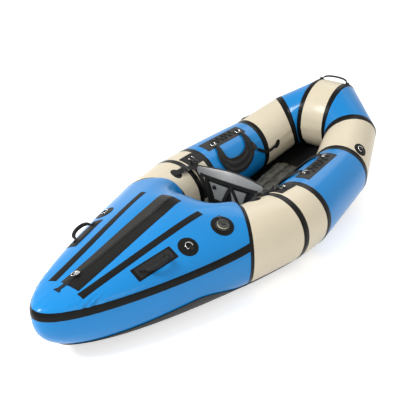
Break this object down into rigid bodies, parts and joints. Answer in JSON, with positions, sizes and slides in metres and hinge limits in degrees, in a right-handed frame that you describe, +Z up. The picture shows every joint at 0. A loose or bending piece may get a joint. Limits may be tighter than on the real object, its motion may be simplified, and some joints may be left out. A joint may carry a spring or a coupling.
{
  "type": "packraft",
  "caption": "Open inflatable packraft with a decked stern, cargo zip, seat, backband, thigh straps, grab loops and lashing rings.",
  "frame": {"origin": "under the middle of the boat, on the ground that its floor lies on", "axes": "+X to the bow, +Y to port, +Z up"},
  "size_m": [2.3358, 0.9524, 0.558],
  "materials": {
    "blue_fabric": "coated, glossy",
    "beige_fabric": "coated, satin",
    "seam_tape": "coated, satin",
    "floor_fabric": "coated, matt",
    "seat_fabric": "coated, matt",
    "silver_fabric": "coated, satin",
    "black_webbing": "woven",
    "zip_chain": "moulded",
    "bright_metal": "polished",
    "black_plastic": "moulded",
    "valve_plastic": "moulded",
    "patch_rubber": "matt, fine grain"
  },
  "bodies": {
    "hull": {"stern_deck": "blue_fabric", "stern_lower_panel": "blue_fabric", "aft_tube_panel_starboard": "beige_fabric", "aft_tube_panel_port": "beige_fabric", "hip_tube_panel_starboard": "beige_fabric", "hip_tube_panel_port": "beige_fabric", "quarter_tube_panel_starboard": "beige_fabric", "quarter_tube_panel_port": "beige_fabric", "side_tube_panel_starboard": "blue_fabric", "side_tube_panel_port": "blue_fabric", "bow_wedge_panel_starboard": "blue_fabric", "bow_wedge_panel_port": "blue_fabric", "bow_centre_panel": "beige_fabric", "stern_belt_tape": "seam_tape", "seam_tape_2_starboard": "seam_tape", "seam_tape_2_port": "seam_tape", "seam_tape_3_starboard": "seam_tape", "seam_tape_3_port": "seam_tape", "seam_tape_4_starboard": "seam_tape", "seam_tape_4_port": "seam_tape", "seam_tape_5_starboard": "seam_tape", "seam_tape_5_port": "seam_tape", "seam_tape_6_starboard": "seam_tape", "seam_tape_6_port": "seam_tape", "floor": "floor_fabric", "seat": "seat_fabric", "zip_patch": "patch_rubber", "zip_chain": "zip_chain", "deck_strip_starboard": "patch_rubber", "deck_strip_port": "patch_rubber", "stern_ring_patch_starboard": "patch_rubber", "stern_ring_patch_port": "patch_rubber", "handle_patch_starboard": "patch_rubber", "handle_patch_port": "patch_rubber", "hip_patch_starboard": "patch_rubber", "hip_patch_port": "patch_rubber", "lacing_patch_starboard": "patch_rubber", "lacing_patch_port": "patch_rubber", "quarter_ring_patch_starboard": "patch_rubber", "quarter_ring_patch_port": "patch_rubber", "back_strap_starboard": "black_webbing", "back_strap_port": "black_webbing", "lacing_cord_starboard": "black_webbing", "lacing_cord_port": "black_webbing", "front_strap_starboard": "black_webbing", "front_strap_port": "black_webbing", "valve_patch": "patch_rubber", "valve_body": "valve_plastic"},
    "zip_slider": {"zip_slider": "bright_metal"},
    "zip_pull": {"zip_pull": "bright_metal"},
    "stern_ring_starboard": {"stern_d_ring_starboard": "bright_metal"},
    "stern_ring_port": {"stern_d_ring_port": "bright_metal"},
    "handle_starboard": {"grab_handle_starboard": "black_webbing"},
    "handle_port": {"grab_handle_port": "black_webbing"},
    "bow_loop": {"bow_grab_loop": "black_webbing"},
    "valve_cap": {"valve_cap": "black_plastic"},
    "backrest": {"backband": "silver_fabric", "back_panel": "silver_fabric"},
    "thigh_strap_starboard": {"thigh_strap_starboard": "black_webbing"},
    "thigh_strap_port": {"thigh_strap_port": "black_webbing"}
  },
  "joints": [
    {"name": "zip_slide", "type": "slide", "parent": "hull", "child": "zip_slider", "axis": [0.9842, 0, 0.1771], "range_m": [-0.024, 0.5]},
    {"name": "zip_pull_turn", "type": "hinge", "parent": "zip_slider", "child": "zip_pull", "pos_m": [-0.94624, 0, 0.3128], "axis": [0, 1, 0], "range_deg": [0, 160]},
    {"name": "stern_ring_starboard_turn", "type": "hinge", "parent": "hull", "child": "stern_ring_starboard", "pos_m": [-0.56008, -0.23917, 0.31985], "axis": [0.9805, 0, 0.1964], "range_deg": [0, 150]},
    {"name": "stern_ring_port_turn", "type": "hinge", "parent": "hull", "child": "stern_ring_port", "pos_m": [-0.56008, 0.23917, 0.31985], "axis": [-0.9805, 0, -0.1964], "range_deg": [0, 150]},
    {"name": "handle_starboard_turn", "type": "hinge", "parent": "hull", "child": "handle_starboard", "pos_m": [-0.72108, -0.19235, 0.31084], "axis": [0.9775, -0.166, 0.13], "range_deg": [-120, 20]},
    {"name": "handle_port_turn", "type": "hinge", "parent": "hull", "child": "handle_port", "pos_m": [-0.72108, 0.19235, 0.31084], "axis": [-0.9775, -0.166, -0.13], "range_deg": [-120, 20]},
    {"name": "bow_loop_turn", "type": "hinge", "parent": "hull", "child": "bow_loop", "pos_m": [1.03086, 0, 0.5264], "axis": [0, 1, 0], "range_deg": [-100, 40]},
    {"name": "valve_cap_twist", "type": "hinge", "parent": "hull", "child": "valve_cap", "pos_m": [-0.376, -0.26, 0.33795], "axis": [-0.1361, -0.4026, 0.9052], "range_deg": [0, 90]},
    {"name": "backrest_tilt", "type": "hinge", "parent": "hull", "child": "backrest", "pos_m": [0.033, 0, 0.309], "axis": [0, 1, 0], "range_deg": [-15, 45]},
    {"name": "thigh_strap_starboard_swing", "type": "hinge", "parent": "hull", "child": "thigh_strap_starboard", "pos_m": [0.37092, -0.25843, 0.3395], "axis": [0.9981, 0.0485, 0.0386], "range_deg": [0, 60]},
    {"name": "thigh_strap_port_swing", "type": "hinge", "parent": "hull", "child": "thigh_strap_port", "pos_m": [0.37092, 0.25843, 0.3395], "axis": [-0.9981, 0.0485, -0.0386], "range_deg": [0, 60]}
  ]
}
